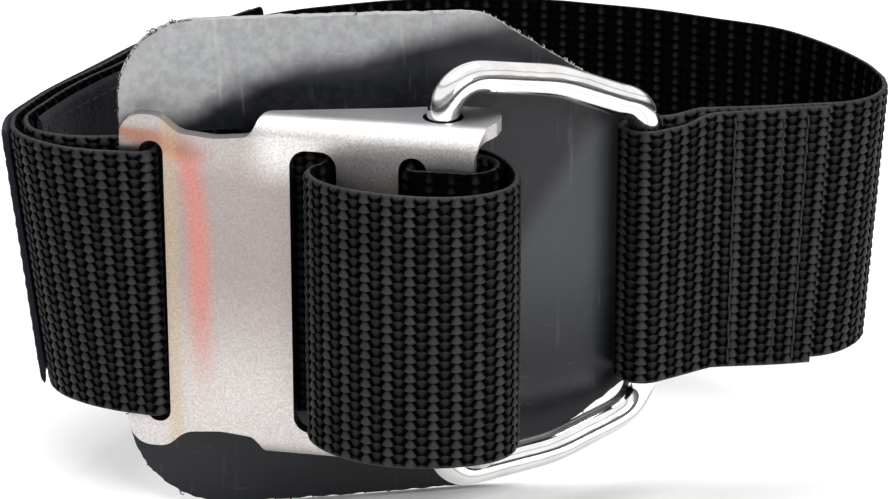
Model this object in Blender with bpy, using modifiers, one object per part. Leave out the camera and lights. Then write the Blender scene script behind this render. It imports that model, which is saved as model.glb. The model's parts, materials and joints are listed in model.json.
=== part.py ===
"""Cam-action cylinder band: 50 mm webbing, slotted steel cam plate, wire bail, rubber pad.

Frame: metres, +Z up along the cylinder, +X to the right of the buckle, +Y from the buckle
towards the back of the band. The origin is the centre of the part's bounding box.
Plan shapes are worked out in millimetres and scaled once, when the meshes are made.
"""
import math

import bmesh
import bpy
from mathutils import Vector

MM = 0.001
TOUCH = 0.01                    # millimetres, points closer than this are one point

# Driving dimensions, millimetres.
WEB_WIDTH = 50.0
WEB_THICK = 1.9
GAP = 0.35                      # clearance between neighbouring pieces
PATCH_THICK = 1.0
PATCH_WIDTH = 49.0
THREAD_RADIUS = 0.4

PLATE_THICK = 2.5
PLATE_LENGTH = 63.0
PLATE_YAW = -11.5               # degrees, the buckle sits slightly skewed on the ring
PLATE_ORIGIN = (-58.7, -36.3)   # plan place of the plate's left end, on its front face
LOBE_HEIGHT = 31.4              # half height of the hooked lobes
VALLEY_HEIGHT = 27.7            # half height between the lobes and the flanges
SLOT_HEIGHT = 26.6              # half height of the three slots
TAIL_SLOT = (3.5, 7.8)
LOOP_SLOT = (30.5, 38.8)
LOCK_SLOT = (49.8, 54.7)
BEND_START = 28.4               # half height at which the flanges start to bend
BEND_RADIUS = 3.6               # outside radius of the bend
FLANGE_LEFT = 25.0
EAR_OVERHANG = 3.3              # how far the ears reach past the end bar
EAR_PIVOT = (56.2, 7.2)         # along the plate, behind its front face
EAR_HOLE_RADIUS = 3.55

WIRE_RADIUS = 2.95
WIRE_END_HEIGHT = 26.6
BAIL_SPREAD = 37.8              # half spread of the arms at the ears
BAIL_MIDDLE = 35.2              # half spread where the arms start to draw in
BAIL_NARROW = 27.6              # half spread of the arms at the crossbar
FOLD_AXIS = (34.1, -20.1)       # plan place of the bail's crossbar, inside the sewn fold

PAD_THICK = 1.8
PAD_HALF_HEIGHT = 46.2
PAD_SLOT = (8.1, 22.3)

COLLECTION_NAME = "dive_weight_belt"


# ---------------------------------------------------------------- plan geometry

def unit(angle):
    """Plan unit vector at an angle in degrees."""
    return Vector((math.cos(math.radians(angle)), math.sin(math.radians(angle))))


PLATE_ALONG = unit(PLATE_YAW)
PLATE_BACK = unit(PLATE_YAW + 90.0)


def on_plate(along, back):
    """Plan point from a distance along the plate and a depth behind its front face."""
    return Vector(PLATE_ORIGIN) + PLATE_ALONG * along + PLATE_BACK * back


def arc(center, radius, start, end, step=18.0):
    """Points on a circular arc between two angles in degrees, ends included."""
    count = max(2, math.ceil(abs(end - start) / step))
    return [Vector(center) + unit(start + (end - start) * i / count) * radius
            for i in range(count + 1)]


def tangent_angle(center, radius, point, side):
    """Angle at which the tangent from an outside point touches a circle."""
    offset = Vector(point) - Vector(center)
    bearing = math.degrees(math.atan2(offset.y, offset.x))
    return bearing + side * math.degrees(math.acos(radius / offset.length))


def rounded(corners, step=18.0):
    """Open polyline through (x, y, radius) corners, each rounded with its radius."""
    points = [Vector(corners[0][:2])]
    for before, corner, after in zip(corners, corners[1:], corners[2:]):
        here = Vector(corner[:2])
        to_before = (Vector(before[:2]) - here).normalized()
        to_after = (Vector(after[:2]) - here).normalized()
        half = to_before.angle(to_after) / 2.0
        radius = corner[2]
        if radius <= 0.0 or half > math.radians(89.5):
            points.append(here)
            continue
        middle = here + (to_before + to_after).normalized() * (radius / math.sin(half))
        first = here + to_before * (radius / math.tan(half)) - middle
        last = here + to_after * (radius / math.tan(half)) - middle
        start = math.degrees(math.atan2(first.y, first.x))
        sweep = math.degrees(math.atan2(first.x * last.y - first.y * last.x, first.dot(last)))
        points += arc(middle, radius, start, start + sweep, step)
    points.append(Vector(corners[-1][:2]))
    return points


def closed_rounded(corners, step=18.0):
    """Closed outline through (x, y, radius) corners, each rounded with its radius."""
    mid = (Vector(corners[0][:2]) + Vector(corners[-1][:2])) / 2.0
    ring = [(mid.x, mid.y, 0.0)] + list(corners) + [(mid.x, mid.y, 0.0)]
    return rounded(ring, step)[:-1]


def spline(points, pieces=5):
    """Catmull-Rom curve through plan points, with a few straight pieces per span."""
    points = [Vector(p) for p in points]
    ends = [2 * points[0] - points[1]] + points + [2 * points[-1] - points[-2]]
    curve = []
    for p0, p1, p2, p3 in zip(ends, ends[1:], ends[2:], ends[3:]):
        for i in range(pieces):
            t = i / pieces
            curve.append(0.5 * (2 * p1 + (p2 - p0) * t + (2 * p0 - 5 * p1 + 4 * p2 - p3) * t ** 2
                                + (3 * p1 - p0 - 3 * p2 + p3) * t ** 3))
    return curve + [points[-1]]


def offset(path, distance):
    """Path moved sideways, to its left when the distance is positive."""
    moved = []
    for i, point in enumerate(path):
        along = path[min(i + 1, len(path) - 1)] - path[max(i - 1, 0)]
        along.normalize()
        moved.append(point + Vector((-along.y, along.x)) * distance)
    return moved


def between(path, first, last):
    """The stretch of a path between two distances along it."""
    stretch = []
    run = 0.0
    for a, b in zip(path, path[1:]):
        length = (b - a).length
        if run <= first < run + length:
            stretch.append(a.lerp(b, (first - run) / length))
        if run < last <= run + length:
            stretch.append(a.lerp(b, (last - run) / length))
        run += length
        if first < run < last - TOUCH:
            stretch.append(b)
    return stretch


def length_of(path):
    return sum((b - a).length for a, b in zip(path, path[1:]))


# ---------------------------------------------------------------- object builders

def clear_scene():
    for obj in list(bpy.data.objects):
        bpy.data.objects.remove(obj, do_unlink=True)
    for group in list(bpy.data.collections):
        bpy.data.collections.remove(group)


def material(name, colour, roughness, metallic=0.0):
    finish = bpy.data.materials.new(name)
    finish.use_nodes = True
    shader = finish.node_tree.nodes["Principled BSDF"]
    shader.inputs["Base Color"].default_value = (*colour, 1.0)
    shader.inputs["Roughness"].default_value = roughness
    shader.inputs["Metallic"].default_value = metallic
    return finish


def new_curve(name, dimensions):
    data = bpy.data.curves.new(name, "CURVE")
    data.dimensions = dimensions
    obj = bpy.data.objects.new(name, data)
    bpy.context.scene.collection.objects.link(obj)
    return obj


def add_spline(data, points, cyclic):
    line = data.splines.new("POLY")
    line.points.add(len(points) - 1)
    for target, point in zip(line.points, points):
        height = point[2] * MM if len(point) > 2 else 0.0
        target.co = (point[0] * MM, point[1] * MM, height, 1.0)
    line.use_cyclic_u = cyclic


def finish_object(obj, collection, finish, axis=None):
    """Move an object into the part's collection, give it its material and its parent."""
    for group in list(obj.users_collection):
        group.objects.unlink(obj)
    collection.objects.link(obj)
    obj.data.materials.clear()
    obj.data.materials.append(finish)
    if axis is not None:
        obj.parent = axis
        obj.matrix_parent_inverse = axis.matrix_world.inverted()
    return obj


def strap(name, path, width, thick, collection, finish, axis=None):
    """A strip standing on edge along a plan path, closed by Solidify."""
    obj = new_curve(name, "2D")
    obj.data.fill_mode = "NONE"
    obj.data.extrude = width / 2.0 * MM
    add_spline(obj.data, path, False)
    solidify = obj.modifiers.new("thickness", "SOLIDIFY")
    solidify.thickness = thick * MM
    solidify.offset = 0.0
    solidify.use_even_offset = True
    return finish_object(obj, collection, finish, axis)


def thread(name, points, collection, finish, axis=None, cyclic=False):
    """A round sewing thread through three-dimensional points."""
    obj = new_curve(name, "3D")
    obj.data.bevel_depth = THREAD_RADIUS * MM
    obj.data.bevel_resolution = 0
    obj.data.use_fill_caps = not cyclic
    add_spline(obj.data, points, cyclic)
    return finish_object(obj, collection, finish, axis)


def flat_blank(name, outlines, thick):
    """Mesh of a flat sheet with holes, lying in XY with its thickness along Z from 0."""
    obj = new_curve(name + "_outline", "2D")
    obj.data.fill_mode = "BOTH"
    obj.data.extrude = thick / 2.0 * MM
    for outline in outlines:
        add_spline(obj.data, outline, True)
    bpy.context.view_layer.update()
    evaluated = obj.evaluated_get(bpy.context.evaluated_depsgraph_get())
    mesh = bpy.data.meshes.new_from_object(evaluated)
    bpy.data.objects.remove(obj, do_unlink=True)
    mesh.name = name
    shape = bmesh.new()
    shape.from_mesh(mesh)
    bmesh.ops.remove_doubles(shape, verts=shape.verts, dist=0.01 * MM)
    bmesh.ops.recalc_face_normals(shape, faces=shape.faces)
    for vert in shape.verts:
        vert.co.z += thick / 2.0 * MM
    return mesh, shape


def split_at(shape, normal, distances):
    """Cut a mesh's faces along parallel planes, keeping both sides."""
    for distance in distances:
        everything = shape.verts[:] + shape.edges[:] + shape.faces[:]
        bmesh.ops.bisect_plane(shape, geom=everything, dist=0.001 * MM,
                               plane_co=Vector(normal) * distance * MM, plane_no=normal)


def mesh_object(name, mesh, shape, collection, finish, axis=None):
    shape.normal_update()
    bmesh.ops.recalc_face_normals(shape, faces=shape.faces)
    shape.to_mesh(mesh)
    shape.free()
    obj = bpy.data.objects.new(name, mesh)
    collection.objects.link(obj)
    mesh.shade_smooth()
    mesh.set_sharp_from_angle(angle=math.radians(35.0))
    return finish_object(obj, collection, finish, axis)


def joint_axis(name, place, collection, parent=None):
    """An empty that stands on a joint's vertical axis."""
    empty = bpy.data.objects.new(name, None)
    collection.objects.link(empty)
    empty.location = (place[0] * MM, place[1] * MM, 0.0)
    empty.empty_display_size = 0.01
    bpy.context.view_layer.update()
    if parent is not None:
        empty.parent = parent
        empty.matrix_parent_inverse = parent.matrix_world.inverted()
        bpy.context.view_layer.update()
    return empty


# ---------------------------------------------------------------- webbing paths

FOLD_RADIUS = WIRE_RADIUS + GAP + WEB_THICK / 2.0
LEG_SPACING = WEB_THICK + 0.3
LEG_KINK = Vector((42.0, -15.3))     # where the sewn leg leaves the bail
LEG_DIRECTION = unit(8.2)
LEG_LEFT = Vector((-LEG_DIRECTION.y, LEG_DIRECTION.x))
FOLD_CUT = 25.5                      # cut end of the outer leg, past the kink
OUTER_LEG_START = LEG_KINK + LEG_DIRECTION * 4.8 - LEG_LEFT * LEG_SPACING
OUTER_LEG_END = LEG_KINK + LEG_DIRECTION * FOLD_CUT - LEG_LEFT * LEG_SPACING


def fold_path():
    """Outer leg, round the bail's crossbar, to the start of the inner leg."""
    first = tangent_angle(FOLD_AXIS, FOLD_RADIUS, OUTER_LEG_START, -1.0)
    last = tangent_angle(FOLD_AXIS, FOLD_RADIUS, LEG_KINK, 1.0)
    return [OUTER_LEG_END, OUTER_LEG_START] + arc(FOLD_AXIS, FOLD_RADIUS, first, last - 360.0)


def ring_path():
    """Inner leg, right turn, round the back and down to the left turn."""
    turn = LEG_KINK + LEG_DIRECTION * 37.6
    right_turn = rounded([(*LEG_KINK, 0.0), (*turn, 12.5), (79.1, 4.0, 0.0)])
    back = spline([(79.1, 4.0), (76.6, 12.0), (70.6, 21.4), (60.0, 31.2), (42.0, 40.4),
                   (20.0, 47.6), (0.0, 49.6), (-20.0, 45.8), (-38.0, 37.0), (-53.5, 24.8),
                   (-62.5, 11.0), (-70.0, -3.5), (-74.6, -15.0)])
    return right_turn[:-1] + back


SLOT_SLOPE = unit(-10.0)             # heading of the webbing through the pad's slot
SLOT_CENTER = Vector((-43.9, -29.6))


def front_left_path():
    """From the left turn, behind the pad's margin and out through the pad's slot."""
    inside = SLOT_CENTER - SLOT_SLOPE * 7.5
    outside = SLOT_CENTER + SLOT_SLOPE * 12.0
    turn = spline([(-74.6, -15.0), (-75.6, -20.0), (-73.6, -26.0), (-67.5, -29.0),
                   (-60.0, -29.6), (-55.0, -28.7), inside], 4)
    return turn + [outside]


MAIN_PATH = fold_path() + ring_path() + front_left_path()[1:]

LOOP_CENTER = (52.9, -3.7)           # along the plate, behind its front face
LOOP_RADIUS = 17.9
LOOP_FLATNESS = 0.592                # front half's depth over its radius
TURN_CENTER = (61.2, 3.7)
TURN_RADIUS = 5.3


def woven_path():
    """Webbing carried by the plate: feed, big front loop, weave through the slots, tail slot."""
    half = WEB_THICK / 2.0
    under = PLATE_THICK + GAP + half
    feed_start = Vector((26.4, 10.2))
    feed_angle = tangent_angle(LOOP_CENTER, LOOP_RADIUS, feed_start, -1.0)
    path = [feed_start]
    for point in arc(LOOP_CENTER, LOOP_RADIUS, feed_angle, -176.0, 12.0):
        front = min(0.0, point.y - LOOP_CENTER[1])
        path.append(Vector((point.x, point.y - front * (1.0 - LOOP_FLATNESS))))
    corners = [(*path[-1], 0.0), (35.2, -2.6, 3.0), (36.9, -0.6, 3.0), (36.9, under, 1.6),
               (51.4, under, 1.6), (51.4, -1.6, 1.6), (61.2, -1.6, 0.0)]
    path += rounded(corners)[1:]
    path += arc(TURN_CENTER, TURN_RADIUS, -90.0, 90.0)[1:]
    corners = [(*path[-1], 0.0), (12.0, 4.0, 8.0), (6.0, 3.9, 2.1), (6.0, -1.5, 2.1),
               (2.2, -1.5, 0.0)]
    path += rounded(corners)[1:]
    return [on_plate(*point) for point in path]


TAIL_HINGE = on_plate(1.9, -1.5 - WEB_THICK / 2.0)


def tail_path():
    """Free end of the webbing: off the crossbar, round the left turn, outside the ring."""
    layer = WEB_THICK + GAP
    outside = offset(between(MAIN_PATH, RING_TAIL_END, RING_TAIL_START), -layer)
    outside.reverse()
    lifted = outside[:-3]
    last = lifted[-1] - lifted[-2]
    last.normalize()
    away = Vector((-last.y, last.x))
    lifted.append(lifted[-1] + last * 7.0 + away * 0.8)
    lifted.append(lifted[-1] + last * 6.0 + away * 1.6)
    front = spline([on_plate(1.6, -1.5), (-63.0, -36.9), (-69.0, -34.4), (-74.4, -30.2),
                    (-77.2, -25.4), lifted[0]], 4)
    return front[:-1] + lifted


MAIN_LENGTH = length_of(MAIN_PATH)
RING_TAIL_START = MAIN_LENGTH - 49.0     # where the tail comes to lie on the ring
RING_TAIL_END = RING_TAIL_START - 68.0   # how far round the back it reaches


# ---------------------------------------------------------------- sheet pieces

def cam_plate(collection, finish, axis):
    """Steel plate cut as a flat blank, its two flanges bent back to make the ears."""
    middle_radius = BEND_RADIUS - PLATE_THICK / 2.0
    bend_length = middle_radius * math.pi / 2.0

    def flange(depth):
        """Height of the flat blank's edge for a flange that reaches back to a depth."""
        return BEND_START + bend_length + depth - BEND_RADIUS

    right = PLATE_LENGTH
    upper = [
        (0.0, 26.5, 1.5), (0.0, LOBE_HEIGHT, 4.2), (7.0, LOBE_HEIGHT, 4.0),
        (10.4, VALLEY_HEIGHT + 0.6, 5.0), (17.0, VALLEY_HEIGHT, 10.0),
        (23.6, VALLEY_HEIGHT + 0.7, 3.0), (26.0, flange(4.6), 2.0),
        (48.0, flange(10.6), 8.0), (57.0, flange(13.6), 4.0),
        (right + EAR_OVERHANG, flange(13.4), 4.5), (right + EAR_OVERHANG - 0.4, flange(6.2), 2.5),
        (right, BEND_START - 1.5, 2.0),
    ]
    lower = [(x, -y, radius) for x, y, radius in reversed(upper)]
    outline = closed_rounded(upper + lower, 22.5)
    slots = []
    for (left, slot_right), radius in ((TAIL_SLOT, 2.1), (LOOP_SLOT, 3.0), (LOCK_SLOT, 2.4)):
        slots.append(closed_rounded([
            (left, -SLOT_HEIGHT, radius), (slot_right, -SLOT_HEIGHT, radius),
            (slot_right, SLOT_HEIGHT, radius), (left, SLOT_HEIGHT, radius)], 30.0))
    hole_height = flange(EAR_PIVOT[1])
    for side in (1.0, -1.0):
        hole_center = (EAR_PIVOT[0], side * hole_height)
        slots.append(arc(hole_center, EAR_HOLE_RADIUS, 0.0, 360.0, 22.5)[:-1])
    mesh, shape = flat_blank("cam_plate", [outline] + slots, PLATE_THICK)

    steps = 5
    bends = [BEND_START + bend_length * i / steps for i in range(steps + 1)]
    split_at(shape, (0.0, 1.0, 0.0), bends)
    split_at(shape, (0.0, -1.0, 0.0), bends)
    for vert in shape.verts:
        along, height, depth = vert.co / MM
        excess = abs(height) - BEND_START
        if along > FLANGE_LEFT - 4.0 and excess > 0.0:
            turn = min(excess / middle_radius, math.pi / 2.0)
            radius = BEND_RADIUS - depth
            straight = max(0.0, excess - bend_length)
            new_height = BEND_START + radius * math.sin(turn)
            height = math.copysign(new_height, height)
            depth = BEND_RADIUS - radius * math.cos(turn) + straight
        plan = on_plate(along, depth)
        vert.co = Vector((plan.x, plan.y, height)) * MM
    return mesh_object("cam_plate", mesh, shape, collection, finish, axis)


PAD_LEFT = -58.9
PAD_FLAT_SLOPE = 9.75                # degrees
PAD_BEND_AT = 68.0                   # along the pad, where its right margin starts to curve
PAD_CURL = 2.7                       # degrees of turn per step of that curve
PAD_FRONT_LEFT = (PAD_LEFT, -33.05)


def pad_centre_line():
    """Plan centre line of the pad: flat behind the buckle, then curving round to the right."""
    along = unit(PAD_FLAT_SLOPE)
    left = Vector((-along.y, along.x))
    start = Vector(PAD_FRONT_LEFT) + left * (PAD_THICK / 2.0)
    points = [start, start + along * PAD_BEND_AT]
    slope = PAD_FLAT_SLOPE
    for _ in range(5):
        slope += PAD_CURL
        points.append(points[-1] + unit(slope) * 7.0)
    return points


def friction_pad(collection, finish, axis):
    """Rubber sheet: one square end, one tapering end, with a slot that the webbing threads."""
    upper = [(0.0, PAD_HALF_HEIGHT, 13.5), (64.8, PAD_HALF_HEIGHT, 9.0),
             (97.5, 24.0, 9.0)]
    lower = [(x, -y, radius) for x, y, radius in reversed(upper)]
    outline = closed_rounded(upper + lower, 22.5)
    slot_left, slot_right = PAD_SLOT
    slot = closed_rounded([(slot_left, -26.0, 2.0), (slot_right, -26.0, 2.0),
                           (slot_right, 26.0, 2.0), (slot_left, 26.0, 2.0)], 45.0)
    mesh, shape = flat_blank("friction_pad", [outline, slot], PAD_THICK)
    centre = pad_centre_line()
    marks = [length_of(centre[:i + 1]) for i in range(1, len(centre) - 1)]
    split_at(shape, (1.0, 0.0, 0.0), marks)
    for vert in shape.verts:
        along, height, depth = vert.co / MM
        run = 0.0
        for i, (a, b) in enumerate(zip(centre, centre[1:])):
            length = (b - a).length
            if along <= run + length or i == len(centre) - 2:
                break
            run += length
        direction = (b - a).normalized()
        before = centre[i] - centre[i - 1] if i > 0 else direction
        if i > 0 and abs(along - run) < 0.01:
            direction = (direction + before.normalized()).normalized()
        side = Vector((-direction.y, direction.x))
        plan = a + direction * (along - run) + side * (depth - PAD_THICK / 2.0)
        vert.co = Vector((plan.x, plan.y, height)) * MM
    return mesh_object("friction_pad", mesh, shape, collection, finish, axis)


def wire_bail(collection, finish, axis):
    """Bent wire: both ends enter the ears from outside, the crossbar lies in the fold."""
    pivot = on_plate(*EAR_PIVOT)
    reach = Vector(FOLD_AXIS) - pivot
    upper = [(0.0, WIRE_END_HEIGHT, 0.0), (0.0, BAIL_SPREAD, 7.0),
             (0.55 * reach.length, BAIL_MIDDLE, 28.0), (reach.length, BAIL_NARROW, 4.5)]
    lower = [(x, -z, radius) for x, z, radius in reversed(upper)]
    direction = reach.normalized()
    points = []
    for along, height in rounded(upper + lower, 15.0):
        plan = pivot + direction * along
        points.append((plan.x, plan.y, height))
    obj = new_curve("wire_bail", "3D")
    obj.data.bevel_depth = WIRE_RADIUS * MM
    obj.data.bevel_resolution = 2
    obj.data.use_fill_caps = True
    add_spline(obj.data, points, False)
    return finish_object(obj, collection, finish, axis)


# ---------------------------------------------------------------- stitching

def stitch_row(name, distance, collection, finish):
    """One row of thread across the fold's outer leg, weaving slightly from side to side."""
    lift = WEB_THICK / 2.0 + GAP + THREAD_RADIUS
    base = LEG_KINK + LEG_DIRECTION * distance - LEG_LEFT * (LEG_SPACING + lift)
    count = 16
    points = []
    for i in range(count + 1):
        height = (i / count - 0.5) * (WEB_WIDTH - 3.0)
        side = LEG_DIRECTION * (0.45 if i % 2 else -0.45)
        points.append((base.x + side.x, base.y + side.y, height))
    return thread(name, points, collection, finish)


def patch_seam(name, path, side, collection, finish, axis=None):
    """Thread that runs round a patch, a little inside its edge."""
    lift = side * (PATCH_THICK / 2.0 + GAP + THREAD_RADIUS)
    total = length_of(path)
    line = offset(between(path, 2.5, total - 2.5), lift)
    top = PATCH_WIDTH / 2.0 - 2.5
    upper = [(p.x, p.y, top) for p in line]
    lower = [(p.x, p.y, -top) for p in reversed(line)]
    return thread(name, upper + lower, collection, finish, axis, cyclic=True)


# ---------------------------------------------------------------- assembly

def centre_on_box(collection):
    """Move the whole part so that its bounding box is centred on the frame's origin."""
    bpy.context.view_layer.update()
    depsgraph = bpy.context.evaluated_depsgraph_get()
    corners = []
    for obj in collection.objects:
        if obj.type != "EMPTY":
            solid = obj.evaluated_get(depsgraph).to_mesh()
            corners += [obj.matrix_world @ vert.co for vert in solid.vertices]
    low = Vector([min(corner[i] for corner in corners) for i in range(3)])
    high = Vector([max(corner[i] for corner in corners) for i in range(3)])
    for obj in collection.objects:
        if obj.parent is None:
            obj.location -= (low + high) / 2.0
    bpy.context.view_layer.update()


def build():
    clear_scene()
    collection = bpy.data.collections.new(COLLECTION_NAME)
    bpy.context.scene.collection.children.link(collection)

    nylon = material("black_nylon_webbing", (0.018, 0.018, 0.020), 0.75)
    fuzz = material("hook_and_loop", (0.022, 0.022, 0.028), 0.95)
    sewing = material("black_thread", (0.025, 0.025, 0.027), 0.6)
    satin = material("bead_blasted_steel", (0.70, 0.69, 0.67), 0.38, 1.0)
    polished = material("polished_steel_wire", (0.80, 0.79, 0.77), 0.12, 1.0)
    rubber = material("glossy_black_rubber", (0.030, 0.031, 0.033), 0.28)

    fold_axis = joint_axis("bail_swing_axis", FOLD_AXIS, collection)
    ear_axis = joint_axis("lever_open_axis", on_plate(*EAR_PIVOT), collection, fold_axis)
    tail_axis = joint_axis("tail_lift_axis", TAIL_HINGE, collection, ear_axis)

    strap("main_webbing", MAIN_PATH, WEB_WIDTH, WEB_THICK, collection, nylon)
    for name, distance in (("fold_stitch_inner", 8.0), ("fold_stitch_middle", 17.0),
                           ("fold_stitch_outer", 21.5)):
        stitch_row(name, distance, collection, sewing)

    layer = WEB_THICK / 2.0 + GAP + PATCH_THICK / 2.0
    patch_start = RING_TAIL_START - 50.0
    loop_line = offset(between(MAIN_PATH, patch_start, RING_TAIL_START - 2.0), layer)
    strap("loop_patch", loop_line, PATCH_WIDTH, PATCH_THICK, collection, fuzz)
    patch_seam("loop_patch_seam", loop_line, 1.0, collection, sewing)

    wire_bail(collection, polished, fold_axis)
    cam_plate(collection, satin, ear_axis)
    strap("woven_webbing", woven_path(), WEB_WIDTH, WEB_THICK, collection, nylon, ear_axis)

    tail = tail_path()
    split = 24.0
    hinge_gap = 0.35
    strap("tail_webbing_front", between(tail, 0.0, split - hinge_gap), WEB_WIDTH, WEB_THICK,
          collection, nylon, tail_axis)
    end_line = between(tail, split + hinge_gap, length_of(tail))
    hinge = offset(between(tail, split - 0.5, split + 0.5), WEB_THICK / 2.0)
    turn_axis = joint_axis("tail_peel_axis", (hinge[0] + hinge[-1]) / 2.0, collection, tail_axis)
    strap("tail_webbing_end", end_line, WEB_WIDTH, WEB_THICK, collection, nylon, turn_axis)
    hook_line = offset(between(end_line, 1.5, length_of(end_line) - 1.0), layer)
    strap("hook_patch", hook_line, PATCH_WIDTH, PATCH_THICK, collection, fuzz, turn_axis)
    patch_seam("hook_patch_seam", hook_line, 1.0, collection, sewing, turn_axis)

    slide_axis = joint_axis("pad_slide_axis", SLOT_CENTER, collection)
    friction_pad(collection, rubber, slide_axis)
    centre_on_box(collection)


build()
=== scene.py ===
"""Looks of the cylinder cam band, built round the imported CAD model.

Lengths are worked out in millimetres and scaled once, when a mesh is made. Every strip of
webbing is a closed grid whose knots are real relief, run along the same plan path as its
CAD solid, so that the pieces meet where the solids do.
"""
import json
import math

import bmesh
import bpy
import numpy as np
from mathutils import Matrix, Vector

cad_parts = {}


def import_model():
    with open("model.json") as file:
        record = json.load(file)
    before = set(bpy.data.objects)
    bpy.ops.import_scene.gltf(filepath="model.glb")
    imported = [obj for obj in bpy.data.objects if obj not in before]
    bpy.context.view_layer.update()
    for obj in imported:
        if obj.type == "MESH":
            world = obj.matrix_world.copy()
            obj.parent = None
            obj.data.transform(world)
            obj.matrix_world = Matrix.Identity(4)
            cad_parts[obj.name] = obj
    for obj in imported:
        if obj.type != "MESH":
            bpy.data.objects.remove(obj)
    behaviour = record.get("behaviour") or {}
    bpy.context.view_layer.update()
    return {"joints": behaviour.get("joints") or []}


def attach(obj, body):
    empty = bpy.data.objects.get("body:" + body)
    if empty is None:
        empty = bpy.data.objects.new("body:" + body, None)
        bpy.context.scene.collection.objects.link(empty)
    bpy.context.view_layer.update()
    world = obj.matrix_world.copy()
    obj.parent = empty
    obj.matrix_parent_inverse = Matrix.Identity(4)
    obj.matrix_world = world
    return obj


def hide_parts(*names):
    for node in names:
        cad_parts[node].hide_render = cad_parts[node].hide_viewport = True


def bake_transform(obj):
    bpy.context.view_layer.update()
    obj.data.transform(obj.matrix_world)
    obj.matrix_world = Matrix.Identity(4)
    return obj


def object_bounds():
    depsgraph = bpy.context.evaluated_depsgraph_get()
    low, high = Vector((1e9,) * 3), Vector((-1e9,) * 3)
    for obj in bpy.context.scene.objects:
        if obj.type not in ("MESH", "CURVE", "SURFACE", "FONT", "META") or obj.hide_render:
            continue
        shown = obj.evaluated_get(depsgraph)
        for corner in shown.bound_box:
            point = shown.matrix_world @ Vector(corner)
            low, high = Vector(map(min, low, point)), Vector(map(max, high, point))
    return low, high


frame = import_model()
MM = 0.001
RNG = np.random.default_rng(7)

# Driving dimensions of the CAD model, millimetres.
WEB_WIDTH = 50.0
WEB_THICK = 1.9
GAP = 0.35
PATCH_THICK = 1.0
PATCH_WIDTH = 49.0
PLATE_THICK = 2.5
PLATE_LENGTH = 63.0
PLATE_YAW = -11.5
PLATE_ORIGIN = (-58.7, -36.3)
LOBE_HEIGHT = 31.4
VALLEY_HEIGHT = 27.7
SLOT_HEIGHT = 26.6
SLOTS = (((3.5, 7.8), 2.1), ((30.5, 38.8), 3.0), ((49.8, 54.7), 2.4))
BEND_START = 28.4
BEND_RADIUS = 3.6
EAR_OVERHANG = 3.3
EAR_PIVOT = (56.2, 7.2)
EAR_HOLE_RADIUS = 3.55
WIRE_RADIUS = 2.95
WIRE_END_HEIGHT = 26.6
BAIL_SPREAD = 37.8
BAIL_MIDDLE = 35.2
BAIL_NARROW = 27.6
BAIL_SHEAR = 0.09
SHEAR_LIMIT = 1.4               # so that the upper arm clears the webbing's edge
FOLD_AXIS = (34.1, -20.1)
PAD_THICK = 1.8
PAD_HALF_HEIGHT = 46.2
PAD_SLOT = (8.4, 22.2)
PAD_FRONT_LEFT = (-58.9, -33.05)
PAD_FLAT_SLOPE = 9.75
PAD_BEND_AT = 68.0
PAD_CURL = 2.7
PAD_TOP_FALL = 0.024            # slope of the pad's top edge, down to the right

# Plan shapes are worked out from the ring's centre; this is where the frame's origin lies.
BAIL_JOINT = next(j for j in frame["joints"] if j["name"] == "bail_swing")
ORIGIN = np.array((*FOLD_AXIS, 0.0)) - np.array(BAIL_JOINT["pos_m"]) / MM

# Weave of the webbing, millimetres.
COLUMN = 1.95                   # pitch of the knot columns along the webbing
ROW = 1.77                      # pitch of the knots across the webbing
ALONG_STEPS = 6                 # grid steps per column
FINE_STEPS = 6                  # grid steps per knot on the outer face
COARSE_STEPS = 3                # grid steps per knot on the inner face
PILE_PITCH = 0.42               # pitch of the patches' loops and hooks
STITCH_RISE = 2.6               # how far a stitch comes up, in thread radii
STITCH_SINK = 2.1               # how deep it lies between stitches, in thread radii
RELIEF = 0.50                   # height of a knot
WING = 0.66                     # half width of a knot where it starts, in columns
NARROWING = 0.40                # how much narrower its neck is
DROOP = 0.60                    # how far its wings hang back, in rows

# How the ring leans, millimetres over the height of the webbing.
LEFT_TUCK = 5.3
RIGHT_TUCK = 2.6
BACK_LEAN = 4.5
FOLD_DIP = 1.2                  # how far the wire presses the fold's top edge down


def world(points):
    """Frame coordinates in metres of points in millimetres."""
    return (points - ORIGIN) * MM


# ---------------------------------------------------------------- plan geometry

def unit(angle):
    return np.array((math.cos(math.radians(angle)), math.sin(math.radians(angle))))


PLATE_ALONG = unit(PLATE_YAW)
PLATE_BACK = unit(PLATE_YAW + 90.0)


def on_plate(along, back):
    return np.array(PLATE_ORIGIN) + PLATE_ALONG * along + PLATE_BACK * back


def arc(center, radius, start, end, step=5.0):
    count = max(2, math.ceil(abs(end - start) / step))
    return [np.array(center) + unit(start + (end - start) * i / count) * radius
            for i in range(count + 1)]


def tangent_angle(center, radius, point, side):
    away = np.array(point) - np.array(center)
    bearing = math.degrees(math.atan2(away[1], away[0]))
    return bearing + side * math.degrees(math.acos(radius / np.linalg.norm(away)))


def rounded(corners, step=5.0):
    """Open polyline through (x, y, radius) corners, each rounded with its radius."""
    points = [np.array(corners[0][:2], float)]
    for before, corner, after in zip(corners, corners[1:], corners[2:]):
        here = np.array(corner[:2], float)
        back = np.array(before[:2], float) - here
        ahead = np.array(after[:2], float) - here
        back /= np.linalg.norm(back)
        ahead /= np.linalg.norm(ahead)
        half = math.acos(max(-1.0, min(1.0, back @ ahead))) / 2.0
        radius = corner[2]
        if radius <= 0.0 or half > math.radians(89.5):
            points.append(here)
            continue
        bisector = (back + ahead) / np.linalg.norm(back + ahead)
        middle = here + bisector * (radius / math.sin(half))
        first = here + back * (radius / math.tan(half)) - middle
        last = here + ahead * (radius / math.tan(half)) - middle
        start = math.degrees(math.atan2(first[1], first[0]))
        turn = first[0] * last[1] - first[1] * last[0]
        sweep = math.degrees(math.atan2(turn, first @ last))
        points += arc(middle, radius, start, start + sweep, step)
    points.append(np.array(corners[-1][:2], float))
    return points


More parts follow.
